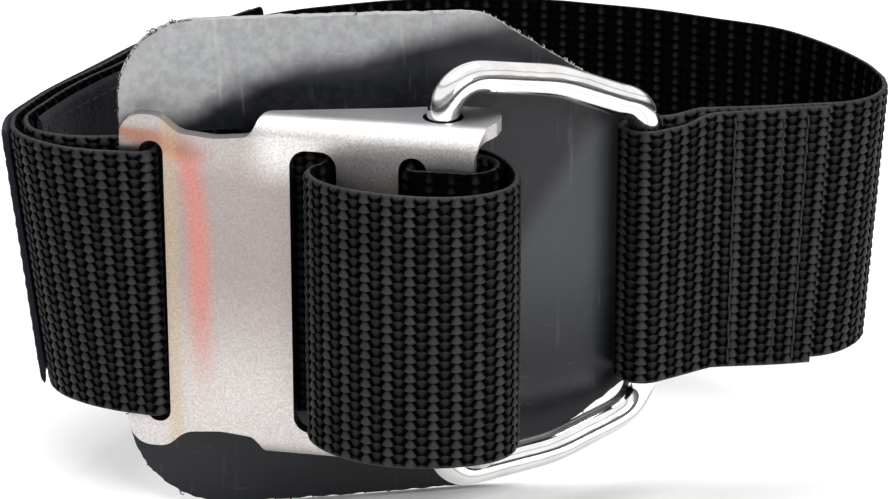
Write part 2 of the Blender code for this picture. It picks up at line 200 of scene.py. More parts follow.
def closed_rounded(corners, step=5.0):
    middle = (np.array(corners[0][:2]) + np.array(corners[-1][:2])) / 2.0
    ring = [(*middle, 0.0)] + list(corners) + [(*middle, 0.0)]
    return rounded(ring, step)[:-1]


def spline(points, pieces=12):
    points = [np.array(p, float) for p in points]
    ends = [2 * points[0] - points[1]] + points + [2 * points[-1] - points[-2]]
    curve = []
    for p0, p1, p2, p3 in zip(ends, ends[1:], ends[2:], ends[3:]):
        for i in range(pieces):
            t = i / pieces
            curve.append(0.5 * (2 * p1 + (p2 - p0) * t + (2 * p0 - 5 * p1 + 4 * p2 - p3) * t ** 2
                                + (3 * p1 - p0 - 3 * p2 + p3) * t ** 3))
    return curve + [points[-1]]


def distances(path):
    steps = np.linalg.norm(np.diff(path, axis=0), axis=1)
    return np.concatenate(([0.0], np.cumsum(steps)))


def resampled(path, step):
    """Path with its points evenly spaced, about a step apart."""
    path = np.array(path)
    run = distances(path)
    keep = np.concatenate(([True], np.diff(run) > 1e-6))
    path, run = path[keep], run[keep]
    at = np.linspace(0.0, run[-1], max(2, int(round(run[-1] / step)) + 1))
    return np.stack([np.interp(at, run, path[:, k]) for k in (0, 1)], axis=1)


def softened(path, reach, step=0.25):
    """Path with its kinks eased over a reach, its ends kept."""
    path = resampled(path, step)
    count = max(1, int(round(reach / step)))
    weights = np.hanning(2 * count + 3)[1:-1]
    weights /= weights.sum()
    padded = np.concatenate((2 * path[0] - path[count:0:-1], path,
                             2 * path[-1] - path[-2:-count - 2:-1]))
    return np.stack([np.convolve(padded[:, k], weights, "valid") for k in (0, 1)], axis=1)


def normals_of(path):
    """Unit normals to the left of a path."""
    along = np.gradient(path, axis=0)
    along /= np.linalg.norm(along, axis=1)[:, None]
    return np.stack((-along[:, 1], along[:, 0]), axis=1)


def offset(path, distance):
    return path + normals_of(path) * distance


def between(path, first, last):
    run = distances(path)
    inside = (run > first + 0.01) & (run < last - 0.01)
    ends = [np.array([np.interp(at, run, path[:, k]) for k in (0, 1)]) for at in (first, last)]
    return np.concatenate((ends[0][None], path[inside], ends[1][None]))


# ---------------------------------------------------------------- webbing paths

FOLD_RADIUS = WIRE_RADIUS + GAP + WEB_THICK / 2.0
LEG_SPACING = WEB_THICK + 0.3
LEG_KINK = np.array((42.0, -15.3))
LEG_DIRECTION = unit(8.2)
LEG_LEFT = unit(98.2)
FOLD_CUT = 25.5
OUTER_LEG_START = LEG_KINK + LEG_DIRECTION * 4.8 - LEG_LEFT * LEG_SPACING
OUTER_LEG_END = LEG_KINK + LEG_DIRECTION * FOLD_CUT - LEG_LEFT * LEG_SPACING
SLOT_SLOPE = unit(-10.0)
SLOT_CENTER = np.array((-43.9, -29.6))
LOOP_CENTER = (52.9, -3.7)
LOOP_RADIUS = 17.9
LOOP_FLATNESS = 0.592
TURN_CENTER = (61.2, 3.7)
TURN_RADIUS = 5.3
FEED_START = (26.4, 10.2)


def main_path():
    first = tangent_angle(FOLD_AXIS, FOLD_RADIUS, OUTER_LEG_START, -1.0)
    last = tangent_angle(FOLD_AXIS, FOLD_RADIUS, LEG_KINK, 1.0)
    fold = [OUTER_LEG_END, OUTER_LEG_START] + arc(FOLD_AXIS, FOLD_RADIUS, first, last - 360.0)
    turn = LEG_KINK + LEG_DIRECTION * 37.6
    right_turn = rounded([(*LEG_KINK, 0.0), (*turn, 12.5), (79.1, 4.0, 0.0)])
    back = spline([(79.1, 4.0), (76.6, 12.0), (70.6, 21.4), (60.0, 31.2), (42.0, 40.4),
                   (20.0, 47.6), (0.0, 49.6), (-20.0, 45.8), (-38.0, 37.0), (-53.5, 24.8),
                   (-62.5, 11.0), (-70.0, -3.5), (-74.6, -15.0)])
    inside = SLOT_CENTER - SLOT_SLOPE * 7.5
    outside = SLOT_CENTER + SLOT_SLOPE * 12.0
    left_turn = spline([(-74.6, -15.0), (-75.6, -20.0), (-73.6, -26.0), (-67.5, -29.0),
                        (-60.0, -29.6), (-55.0, -28.7), inside])
    return fold, right_turn[:-1] + back, left_turn[1:] + [outside]


def woven_path():
    """Plate coordinates of the webbing from the loop's start to the crossbar."""
    under = PLATE_THICK + GAP + WEB_THICK / 2.0
    feed_angle = tangent_angle(LOOP_CENTER, LOOP_RADIUS, FEED_START, -1.0)
    loop = arc(LOOP_CENTER, LOOP_RADIUS, feed_angle, -176.0)
    for point in loop:
        point[1] -= min(0.0, point[1] - LOOP_CENTER[1]) * (1.0 - LOOP_FLATNESS)
    corners = [(*loop[-1], 0.0), (35.2, -2.6, 3.0), (36.9, -0.6, 3.0), (36.9, under, 1.6),
               (51.4, under, 1.6), (51.4, -1.6, 1.6), (61.2, -1.6, 0.0)]
    weave = rounded(corners)[1:] + arc(TURN_CENTER, TURN_RADIUS, -90.0, 90.0)[1:]
    corners = [(*weave[-1], 0.0), (12.0, 4.0, 8.0), (6.0, 3.9, 2.1), (6.0, -1.5, 2.1),
               (2.2, -1.5, 0.0)]
    return loop, weave + rounded(corners)[1:]


FOLD, RING, LEFT_TURN = main_path()
MAIN = softened(FOLD + RING + LEFT_TURN, 0.8)
MAIN_LENGTH = distances(MAIN)[-1]
LOOP, WEAVE = woven_path()
RING_TAIL_START = MAIN_LENGTH - 49.0
RING_TAIL_END = RING_TAIL_START - 68.0
PATCH_START = RING_TAIL_START - 50.0


def tail_path():
    outside = offset(between(MAIN, RING_TAIL_END, RING_TAIL_START), -(WEB_THICK + GAP))[::-1]
    outside = list(outside[:-30])
    last = outside[-1] - outside[-5]
    last /= np.linalg.norm(last)
    away = np.array((-last[1], last[0]))
    lifted = [outside[-1] + last * 7.0 + away * 0.8]
    lifted.append(lifted[-1] + last * 6.0 + away * 1.6)
    front = spline([on_plate(1.6, -1.5), (-63.0, -36.9), (-69.0, -34.4), (-74.4, -30.2),
                    (-77.2, -25.4), outside[0]])
    return softened(front[:-1] + outside + lifted, 1.5)


def eased(value):
    value = np.clip(value, 0.0, 1.0)
    return value * value * (3.0 - 2.0 * value)


def leaning(points):
    """The ring lies slightly conical: its lower edge is drawn in, its back stands outward."""
    x, y, z = (points[..., k] for k in range(3))
    low = (WEB_WIDTH / 2.0 - z) / WEB_WIDTH
    moved = points.copy()
    moved[..., 0] += LEFT_TUCK * (low - 0.22) * eased((-45.0 - x) / 30.0)
    moved[..., 0] -= RIGHT_TUCK * low * eased((x - 48.0) / 30.0)
    moved[..., 1] += BACK_LEAN * (1.0 - low) * eased((y - 6.0) / 28.0)
    from_wire = np.hypot(x - FOLD_AXIS[0], y - FOLD_AXIS[1])
    pressed = eased((12.0 - from_wire) / 6.0) * eased(z * 2.0 / WEB_WIDTH)
    moved[..., 2] -= FOLD_DIP * pressed
    return moved


# ---------------------------------------------------------------- meshes

def placed(name, data):
    """New object for the data, linked to the scene."""
    obj = bpy.data.objects.new(name, data)
    bpy.context.scene.collection.objects.link(obj)
    return obj


def grid_mesh(name, points, uv, relief, capped=True):
    """Tube-shaped grid: rows run along the piece, columns close round its section."""
    rows, columns = points.shape[:2]
    mesh = bpy.data.meshes.new(name)
    mesh.vertices.add(rows * columns)
    mesh.vertices.foreach_set("co", world(points).astype(np.float32).ravel())
    index = np.arange(rows * columns).reshape(rows, columns)
    after = np.roll(index, -1, axis=1)
    quads = np.stack((index[:-1], after[:-1], after[1:], index[1:]), axis=-1).reshape(-1, 4)
    loops = quads.ravel()
    starts = np.arange(len(quads)) * 4
    if capped:
        loops = np.concatenate((loops, index[0, ::-1], index[-1]))
        starts = np.concatenate((starts, [len(quads) * 4, len(quads) * 4 + columns]))
    mesh.loops.add(len(loops))
    mesh.loops.foreach_set("vertex_index", loops.astype(np.int32))
    mesh.polygons.add(len(starts))
    mesh.polygons.foreach_set("loop_start", starts.astype(np.int32))
    mesh.update(calc_edges=True)
    layer = mesh.uv_layers.new(name="cloth")
    layer.data.foreach_set("uv", uv.reshape(-1, 2)[loops].astype(np.float32).ravel())
    height = mesh.attributes.new("relief", "FLOAT", "POINT")
    height.data.foreach_set("value", relief.astype(np.float32).ravel())
    mesh.shade_smooth()
    ends = np.empty(len(mesh.edges) * 2, np.int32)
    mesh.edges.foreach_get("vertices", ends)
    first = np.all(ends.reshape(-1, 2) < columns, axis=1)
    last = np.all(ends.reshape(-1, 2) >= (rows - 1) * columns, axis=1)
    sharp = mesh.attributes.new("sharp_edge", "BOOLEAN", "EDGE")
    sharp.data.foreach_set("value", first | last)
    return placed(name, mesh)


def scatter(a, b, seed=0.0):
    """Repeatable noise in 0..1 from two whole numbers."""
    value = np.sin(a * 12.9898 + b * 78.233 + seed * 37.719) * 43758.5453
    return value - np.floor(value)


def knots(along, across):
    """Height, 0..1, of the weave: columns of arrowhead knots, neighbours the other way up.
    Each knot starts wide, narrows to a neck and dives under the next knot of its column."""
    column = np.floor(along / COLUMN)
    height = np.zeros(np.broadcast(along, across).shape)
    for step in (-1, 0, 1):
        which = column + step
        odd = np.mod(which, 2)
        x = np.abs(along / COLUMN - which - 0.5)
        place = across / ROW + 0.5 * odd
        place = np.where(odd > 0.5, -place, place) - DROOP * x ** 2
        knot = np.floor(place)
        y = place - knot
        side = np.clip(x / (WING - NARROWING * y ** 1.2), 0.0, 1.0)
        edge = eased((1.0 - side) / 0.25)
        rise = 0.45 + 0.55 * eased(y / 0.22)
        body = edge * (1.0 - 0.45 * side ** 1.6) * rise * (1.0 - 0.42 * y ** 2)
        body *= 0.86 + 0.14 * scatter(which, knot, 1.0)
        body *= 1.0 - 0.18 * odd
        height = np.maximum(height, body)
    return height


def section(width, thick, fine, coarse):
    """(across, side, edge angle) round a strip's section, outer face first."""
    edge = thick / 2.0
    flat = width / 2.0 - edge
    outer = np.linspace(-flat, flat, max(2, int(round(2 * flat / fine)) + 1))
    inner = np.linspace(flat, -flat, max(2, int(round(2 * flat / coarse)) + 1))
    turn = np.radians((30.0, 60.0, 90.0, 120.0, 150.0))
    across = np.concatenate((outer, flat + edge * np.sin(turn), inner, -flat - edge * np.sin(turn)))
    side = np.concatenate((np.ones(len(outer)), np.cos(turn), -np.ones(len(inner)), -np.cos(turn)))
    return across, side


def strip(name, line, outer, lift, height, cloth, relief):
    """Closed strip on edge along a plan line: lift is the distance of each grid point from
    the line, height its place across the strip, cloth its two coordinates along and across."""
    left = normals_of(line)
    points = np.empty((*relief.shape, 3))
    points[..., :2] = line[:, None] + left[:, None] * (outer * lift)[..., None]
    points[..., 2] = height
    points = leaning(points)
    uv = np.stack(np.broadcast_arrays(*cloth), axis=-1)
    if outer < 0:
        points, uv, relief = points[:, ::-1], uv[:, ::-1], relief[:, ::-1]
    return grid_mesh(name, points, uv, relief)


def webbing(name, path, outer, phase=0.0, thick=WEB_THICK, inner_shade=0.34, coarse=COARSE_STEPS):
    """A strip of woven webbing on edge along a plan path. outer is 1 where its fine face
    is on the path's left, and -1 where it is on the right. The inner factor scales the other face's
    colour tone down, as painted shade on the inside of the ring."""
    line = resampled(path, COLUMN / ALONG_STEPS)
    along = phase + distances(line)[:, None]
    across, side = section(WEB_WIDTH, thick, ROW / FINE_STEPS, ROW / coarse)
    across = across[None]
    side = side[None]
    margin = np.clip((WEB_WIDTH / 2.0 - np.abs(across)) / 1.1, 0.0, 1.0)
    margin = margin * margin * (3 - 2 * margin)
    relief = knots(along, across) * margin
    ribs = 0.5 + 0.5 * np.sin(along * 4.0 * math.pi / COLUMN + across * 0.7)
    relief = relief + (1.0 - margin) * (0.62 + 0.14 * ribs)
    lift = thick / 2.0 + RELIEF * (relief - 0.80)
    wander = 0.10 * np.sin(along / 9.3 + 1.3) + 0.07 * np.sin(along / 4.1)
    height = across + wander * np.sign(across) * (1 - margin)
    # Painted shade: the inner face's colour tone is scaled down, its geometry keeps the full relief.
    tone = np.where(side < 0, relief * inner_shade, relief)
    return strip(name, line, outer, side * lift, height, (along, across), tone)


def pile(name, path, outer, seed, lumps):
    """A hook-and-loop patch: a thin sheet whose pile is ruffled."""
    line = resampled(path, PILE_PITCH)
    along = distances(line)[:, None]
    across, side = section(PATCH_WIDTH, PATCH_THICK, PILE_PITCH, 1.2)
    across = across[None]
    side = side[None]
    column = np.floor(along / PILE_PITCH)
    row = np.floor((across + 30.0) / PILE_PITCH)
    rough = scatter(column, row, seed) - 0.5
    broad = (np.sin(along * 0.31 + seed) * np.sin(across * 0.23 + 2.0 * seed)
             + 0.5 * np.sin(along * 0.83 + across * 0.61))
    edge = np.clip((PATCH_WIDTH / 2.0 - np.abs(across)) / 0.8, 0.25, 1.0)
    relief = (0.5 + rough * 0.8) * edge
    lift = PATCH_THICK / 2.0 * edge + (side > 0) * (0.16 * rough + lumps * broad) * edge
    return strip(name, line, outer, side * lift, across, (along, across), relief)


def tube(name, centre, radius, sides=8, closed=False):
    """A round cord along three-dimensional points in millimetres."""
    centre = np.asarray(centre, float)
    if closed:
        ahead = np.roll(centre, -1, axis=0) - np.roll(centre, 1, axis=0)
    else:
        ahead = np.gradient(centre, axis=0)
    ahead /= np.linalg.norm(ahead, axis=1)[:, None]
    first = np.cross(ahead[0], (0.31, 0.17, 0.93))
    frames = []
    for direction in ahead:
        first = first - direction * (first @ direction)
        first /= np.linalg.norm(first)
        frames.append(first)
    first = np.array(frames)
    second = np.cross(ahead, first)
    turn = np.arange(sides) * 2.0 * math.pi / sides
    radius = np.broadcast_to(np.asarray(radius, float), (len(centre),))[:, None, None]
    ring = (first[:, None] * np.cos(turn)[None, :, None]
            + second[:, None] * np.sin(turn)[None, :, None]) * radius
    points = centre[:, None] + ring
    run = np.concatenate(([0.0], np.cumsum(np.linalg.norm(np.diff(centre, axis=0), axis=1))))
    uv = np.stack(np.broadcast_arrays(run[:, None], turn[None]), axis=-1)
    relief = np.full(points.shape[:2], 0.8)
    if closed:
        points = np.concatenate((points, points[:1]))
        uv = np.concatenate((uv, uv[:1]))
        relief = np.concatenate((relief, relief[:1]))
    obj = grid_mesh(name, points, uv, relief, capped=not closed)
    if closed:
        shape = bmesh.new()
        shape.from_mesh(obj.data)
        bmesh.ops.remove_doubles(shape, verts=shape.verts, dist=0.001 * MM)
        shape.to_mesh(obj.data)
        shape.free()
    return obj


def stitches(name, surface, pitch, radius, closed=False):
    """A sewn thread: it lies on the cloth for a stitch and dips into it between stitches.
    surface is (points, outward normals) in millimetres."""
    points, outward = surface
    run = np.concatenate(([0.0], np.cumsum(np.linalg.norm(np.diff(points, axis=0), axis=1))))
    count = max(1, round(run[-1] / pitch))
    at = np.linspace(0.0, run[-1], count * 10 + 1)[:-1 if closed else None]
    centre = np.stack([np.interp(at, run, points[:, k]) for k in range(3)], axis=1)
    out = np.stack([np.interp(at, run, outward[:, k]) for k in range(3)], axis=1)
    beat = np.abs(np.sin(at / run[-1] * count * math.pi)) ** 0.5
    centre = centre + out * ((beat * STITCH_RISE - STITCH_SINK) * radius)[:, None]
    return tube(name, leaning(centre), radius, 8, closed)


def sheet_blank(name, outlines, thick):
    """Flat sheet with holes lying in XY, its thickness along Z from 0, as a bmesh."""
    data = bpy.data.curves.new(name + "_outline", "CURVE")
    data.dimensions = "2D"
    data.fill_mode = "BOTH"
    data.extrude = thick / 2.0 * MM
    for outline in outlines:
        line = data.splines.new("POLY")
        line.points.add(len(outline) - 1)
        for target, point in zip(line.points, outline):
            target.co = (point[0] * MM, point[1] * MM, 0.0, 1.0)
        line.use_cyclic_u = True
    blank = placed(name + "_outline", data)
    bpy.context.view_layer.update()
    evaluated = blank.evaluated_get(bpy.context.evaluated_depsgraph_get())
    mesh = bpy.data.meshes.new_from_object(evaluated)
    bpy.data.objects.remove(blank, do_unlink=True)
    bpy.data.curves.remove(data)
    shape = bmesh.new()
    shape.from_mesh(mesh)
    bmesh.ops.remove_doubles(shape, verts=shape.verts, dist=0.005 * MM)
    for vert in shape.verts:
        vert.co.z += thick / 2.0 * MM
    return mesh, shape


def split_at(shape, normal, marks):
    for mark in marks:
        everything = shape.verts[:] + shape.edges[:] + shape.faces[:]
        bmesh.ops.bisect_plane(shape, geom=everything, dist=0.001 * MM,
                               plane_co=Vector(normal) * mark * MM, plane_no=normal)


def bevel_sheet(shape, width, segments):
    """Round the rims of a flat sheet while it is still flat. The rims get material slot 1."""
    shape.normal_update()
    bmesh.ops.recalc_face_normals(shape, faces=shape.faces)
    rims = [e for e in shape.edges if len(e.link_faces) == 2
            and e.calc_face_angle() > math.radians(60.0)
            and any(abs(f.normal.z) > 0.9 for f in e.link_faces)]
    made = bmesh.ops.bevel(shape, geom=rims, offset=width * MM, segments=segments,
                           profile=0.5, affect="EDGES", clamp_overlap=True)
    for face in made["faces"]:
        face.material_index = 1
    for face in shape.faces:
        if abs(face.normal.z) < 0.5:
            face.material_index = 1


def shade_evenly(obj, weight=50):
    obj.data.set_sharp_from_angle(angle=math.radians(50.0))
    weigh = obj.modifiers.new("even_shading", "WEIGHTED_NORMAL")
    weigh.keep_sharp = True
    weigh.weight = weight


def mesh_piece(name, mesh, shape):
    shape.normal_update()
    bmesh.ops.recalc_face_normals(shape, faces=shape.faces)
    mesh.name = name
    shape.to_mesh(mesh)
    shape.free()
    mesh.shade_smooth()
    return placed(name, mesh)


# ---------------------------------------------------------------- materials

# Places of marks on the pieces, in millimetres of the part's own frame.
RED_REFLECTION_ACROSS = -44.5           # the plate's painted red reflection streak
LOBE_FOOT = 22.5                # height at which the streak turns along the lobe
WARM_ACROSS = -49.4             # the painted warm reflection strip beside it
REFLECTION_EDGE = (42.5, 49.0)       # the pad's painted reflection starts and is full, up and to the left
PALE_REFLECTION_NORMAL = (0.857, 0.519)    # the pad's painted pale reflection band lies to the right of this slope


class Nodes:
    """A material's node tree, with short ways to add and join nodes."""

    def __init__(self, name):
        self.finish = bpy.data.materials.new(name)
        self.finish.use_nodes = True
        self.tree = self.finish.node_tree
        self.shader = self.tree.nodes["Principled BSDF"]

    def join(self, value, socket):
        if isinstance(value, (int, float)):
            socket.default_value = value
        elif isinstance(value, tuple):
            socket.default_value = (*value, 1.0) if len(value) == 3 and socket.type == "RGBA" else value
        else:
            self.tree.links.new(value, socket)

    def set(self, **inputs):
        for name, value in inputs.items():
            self.join(value, self.shader.inputs[name.replace("_", " ").title().replace("Ior", "IOR")])

    def node(self, kind, **values):
        node = self.tree.nodes.new(kind)
        for name, value in values.items():
            setattr(node, name, value)
        return node

    def math(self, operation, a, b=0.0):
        node = self.node("ShaderNodeMath", operation=operation)
        self.join(a, node.inputs[0])
        self.join(b, node.inputs[1])
        return node.outputs[0]

    def times(self, a, b):
        return self.math("MULTIPLY", a, b)

    def plus(self, a, b):
        return self.math("ADD", a, b)

    def minus(self, a, b):
        return self.math("SUBTRACT", a, b)

    def highest(self, a, b):
        return self.math("MAXIMUM", a, b)

    def size(self, a):
        return self.math("ABSOLUTE", a)

    def split(self, vector):
        """The three numbers of a vector."""
        node = self.node("ShaderNodeSeparateXYZ")
        self.join(vector, node.inputs[0])
        return node.outputs

    def mix(self, share, a, b):
        node = self.node("ShaderNodeMix", data_type="RGBA")
        self.join(share, node.inputs[0])
        self.join(a, node.inputs[6])
        self.join(b, node.inputs[7])
        return node.outputs[2]

    def ramp(self, value, low, high, out_low=0.0, out_high=1.0):
        node = self.node("ShaderNodeMapRange", interpolation_type="SMOOTHSTEP")
        for socket, number in zip(node.inputs[0:5], (value, low, high, out_low, out_high)):
            self.join(number, socket)
        return node.outputs[0]

    def place(self, scale=(1.0, 1.0, 1.0), turn=0.0, uv=None):
        """Coordinates in millimetres, stretched by scale and turned about Y."""
        if uv:
            start = self.node("ShaderNodeUVMap", uv_map=uv).outputs[0]
            unit_scale = 1.0
        else:
            start = self.node("ShaderNodeTexCoord").outputs["Object"]
            unit_scale = 1.0 / MM
        node = self.node("ShaderNodeMapping")
        self.join(start, node.inputs["Vector"])
        node.inputs["Scale"].default_value = [s * unit_scale for s in scale]
        node.inputs["Rotation"].default_value = (0.0, math.radians(turn), 0.0)
        return node.outputs[0]

    def noise(self, place, scale, detail=2.0, rough=0.5, warp=0.0):
        node = self.node("ShaderNodeTexNoise")
        self.join(place, node.inputs["Vector"])
        node.inputs["Scale"].default_value = scale
        node.inputs["Detail"].default_value = detail
        node.inputs["Roughness"].default_value = rough
        node.inputs["Distortion"].default_value = warp
        return node.outputs[0]

    def bump(self, height, distance, strength=1.0):
        node = self.node("ShaderNodeBump")
        node.inputs["Strength"].default_value = strength
        node.inputs["Distance"].default_value = distance * MM
        self.join(height, node.inputs["Height"])
        return node.outputs[0]


def knot_tone(n, x, y):
    """The knots' height as nodes, also used for their colour: x is the distance from the column's
    middle line. As colour, the crown and fade terms are painted shade: darker wings, and darker towards
    the neck where a knot dives under the next.
    """
    width = n.minus(WING, n.times(n.math("POWER", y, 1.2), NARROWING))
    side = n.math("MINIMUM", n.math("DIVIDE", x, width), 1.0)
    edge = n.ramp(n.minus(1.0, side), 0.02, 0.20)
    crown = n.minus(1.0, n.times(n.math("POWER", side, 1.6), 0.55))
    rise = n.ramp(y, 0.0, 0.14, 0.22, 1.0)
    fade = n.minus(1.0, n.times(n.times(y, y), 0.40))
    return n.times(n.times(edge, crown), n.times(rise, fade))


def nylon(name, top, valley):
    """Black nylon: arrowhead knots with painted light on their crowns, painted shade in the deep gaps
    between them, and fine filaments along each yarn.
    """
    n = Nodes(name)
    relief = n.node("ShaderNodeAttribute", attribute_name="relief").outputs["Fac"]
    place = n.place(uv="cloth")
    split = n.split(place)
    warp = n.times(n.minus(n.noise(place, 0.8, 2.0), 0.5), 0.16)
    along = n.math("DIVIDE", split[0], COLUMN)
    across = n.plus(n.math("DIVIDE", split[1], ROW), warp)
    odd = n.math("FLOORED_MODULO", n.math("FLOOR", along), 2.0)
    x = n.size(n.minus(n.math("FRACT", along), 0.5))
    tones = []
    for flip, distance in ((odd, x), (n.minus(1.0, odd), n.minus(1.0, x))):
        level = n.plus(across, n.times(flip, 0.5))
        level = n.times(level, n.minus(1.0, n.times(flip, 2.0)))
        droop = n.times(n.times(distance, distance), DROOP)
        knot = knot_tone(n, distance, n.math("FRACT", n.minus(level, droop)))
        tones.append(n.times(knot, n.minus(1.0, n.times(flip, 0.42))))
    tone = n.highest(*tones)
    selvedge = n.ramp(n.size(split[1]), 23.9, 24.5)
    shown = n.highest(tone, n.times(selvedge, relief))
    # Painted shade: the mesh's relief attribute darkens the gaps, and on the ring's inner faces the
    # whole face.
    shown = n.times(shown, n.ramp(relief, 0.05, 0.60, 0.25, 1.0))
    fibres = n.noise(n.place(scale=(1.0, 5.0, 1.0), uv="cloth"), 2.4, 3.0, 0.65)
    patchy = n.noise(place, 0.16, 3.0)
    tint = n.times(n.ramp(shown, 0.16, 0.95), n.ramp(patchy, 0.25, 0.75, 0.80, 1.10))
    tint = n.times(tint, n.ramp(fibres, 0.3, 0.7, 0.70, 1.20))
    # Painted light and shade: crowns take the top colour, gaps the near-black valley colour.
    colour = n.mix(tint, valley, top)
    height = n.plus(shown, n.times(fibres, 0.22))
    n.set(base_color=colour, roughness=n.ramp(fibres, 0.3, 0.7, 0.44, 0.62),
          specular_ior_level=n.times(tint, 0.22),
          normal=n.bump(height, 0.26, 0.75))
    return n.finish


def sewing(name):
    n = Nodes(name)
    twist = n.node("ShaderNodeTexWave", wave_type="BANDS", bands_direction="DIAGONAL")
    n.join(n.place(scale=(1.0, 0.55, 1.0), uv="cloth"), twist.inputs["Vector"])
    twist.inputs["Scale"].default_value = 0.9
    ply = twist.outputs["Fac"]
    n.set(base_color=n.mix(ply, (0.005, 0.005, 0.006), (0.024, 0.024, 0.026)), roughness=0.55,
          specular_ior_level=0.25, normal=n.bump(ply, 0.08, 0.8))
    return n.finish


def fuzz(name, colour, light):
    """Hook-and-loop pile: matt, with a soft sheen where it faces away."""
    n = Nodes(name)
    place = n.place()
    grain = n.noise(place, 3.2, 4.0, 0.7)
    clumps = n.noise(place, 0.5, 3.0)
    shade = n.times(n.ramp(grain, 0.35, 0.70), n.ramp(clumps, 0.2, 0.8, 0.5, 1.0))
    n.set(base_color=n.mix(shade, colour, light), roughness=0.92, specular_ior_level=0.15,
          sheen_weight=0.12, sheen_roughness=0.5, sheen_tint=(0.60, 0.60, 0.75),
          normal=n.bump(grain, 0.22, 0.9))
    return n.finish


def blasted_steel(name):
    """Bead-blasted stainless steel: a fine, even grain, with painted highlights towards its bends and
    its lower part, painted blue-grey reflection on faces that look up, a painted red reflection streak
    that follows the upper lobe, a painted warm reflection strip beside it, and painted shade where
    other parts occlude it."""
    n = Nodes(name)
    place = n.place()
    grain = n.noise(place, 2.6, 3.0, 0.65)
    pits = n.noise(place, 6.5, 2.0, 0.6)
    cloud = n.noise(place, 0.09, 3.0)
    across, _, up = n.split(place)
    facing = n.split(n.node("ShaderNodeNewGeometry").outputs["Normal"])
    # Painted highlights: brighter towards the top bends, except on the plate's left part, and towards
    # the lower part.
    top = n.times(n.ramp(up, 18.0, 26.0), n.ramp(across, -37.0, -30.0, 0.25, 1.0))
    bends = n.highest(top, n.ramp(up, 4.0, -24.0, 0.0, 0.55))
    light = n.mix(bends, (0.40, 0.345, 0.33), (0.95, 0.92, 0.90))
    # Painted reflection: faces that look up are darkened to a blue-grey.
    light = n.mix(n.ramp(facing[2], 0.75, 0.97), light, (0.245, 0.25, 0.265))
    light = n.mix(n.ramp(cloud, 0.3, 0.7, 0.0, 0.18), light, (0.50, 0.46, 0.44))
    # Painted reflection: a red streak that runs down the plate and turns along the upper lobe, faded
    # out at the top.
    high = n.highest(n.minus(up, 5.0), 0.0)
    lobe = n.highest(n.minus(up, LOBE_FOOT), 0.0)
    middle = n.minus(RED_REFLECTION_ACROSS, n.times(n.times(high, high), 0.0045))
    middle = n.minus(middle, n.times(n.times(lobe, lobe), 0.30))
    away = n.size(n.minus(across, middle))
    away = n.math("DIVIDE", away, n.plus(1.0, n.times(lobe, 0.55)))
    red_reflection = n.times(n.ramp(away, 0.2, 3.6, 0.80, 0.0), n.ramp(up, -26.0, 2.0, 0.0, 1.0))
    red_reflection = n.times(red_reflection, n.ramp(up, 30.0, 28.0))
    light = n.mix(red_reflection, light, n.mix(n.ramp(lobe, 0.0, 3.0), (0.68, 0.24, 0.20), (0.42, 0.15, 0.08)))
    # Painted reflection: a warm orange strip beside the red streak.
    warm = n.ramp(n.size(n.minus(across, WARM_ACROSS)), 0.3, 2.2, 0.45, 0.0)
    light = n.mix(warm, light, (0.60, 0.44, 0.24))
    tone = n.ramp(grain, 0.32, 0.68, 0.66, 1.0)
    colour = n.mix(tone, (0.16, 0.15, 0.15), light)
    # Painted shade: the colour darkens where nearby parts occlude the plate, as behind the loop.
    occlusion_shade = n.node("ShaderNodeAmbientOcclusion", samples=6)
    occlusion_shade.inputs["Distance"].default_value = 14.0 * MM
    colour = n.mix(n.ramp(occlusion_shade.outputs["AO"], 0.30, 0.80), (0.03, 0.03, 0.03), colour)
    height = n.plus(n.times(grain, 0.7), n.times(pits, 0.3))
    n.set(base_color=colour, metallic=1.0, roughness=n.ramp(pits, 0.3, 0.7, 0.40, 0.55),
          normal=n.bump(height, 0.05, 0.55))
    return n.finish


def polished_steel(name, roughness, draw=(1.0, 1.0, 1.0), dark_reflection_lines=False):
    """Polished stainless steel, with the faint lines its polishing left. It may also get painted
    dark reflections: dark lines along it, at fixed slopes of its surface."""
    n = Nodes(name)
    lines = n.noise(n.place(scale=draw), 1.6, 4.0, 0.7)
    smear = n.noise(n.place(), 0.22, 3.0)
    nick = n.ramp(n.noise(n.place(), 1.1, 2.0), 0.70, 0.76)
    rough = n.plus(n.ramp(lines, 0.3, 0.7, roughness * 0.6, roughness * 1.5),
                   n.times(nick, 0.15))
    colour = n.mix(n.ramp(smear, 0.3, 0.7), (0.86, 0.84, 0.82), (0.97, 0.96, 0.95))
    if dark_reflection_lines:
        # Painted reflections: dark lines where the surface's slope faces set directions.
        facing = n.split(n.node("ShaderNodeNewGeometry").outputs["Normal"])
        wobble = n.times(n.minus(smear, 0.5), 0.16)
        tilt = n.plus(facing[2], wobble)
        for level, width, depth in ((0.62, 0.05, 0.45), (0.34, 0.09, 0.75), (-0.12, 0.06, 0.5)):
            away = n.size(n.minus(tilt, level))
            colour = n.mix(n.ramp(away, 0.2 * width, width, depth, 0.0), colour, (0.13, 0.12, 0.12))
    n.set(base_color=colour, metallic=1.0, roughness=rough, normal=n.bump(lines, 0.012, 0.5))
    return n.finish


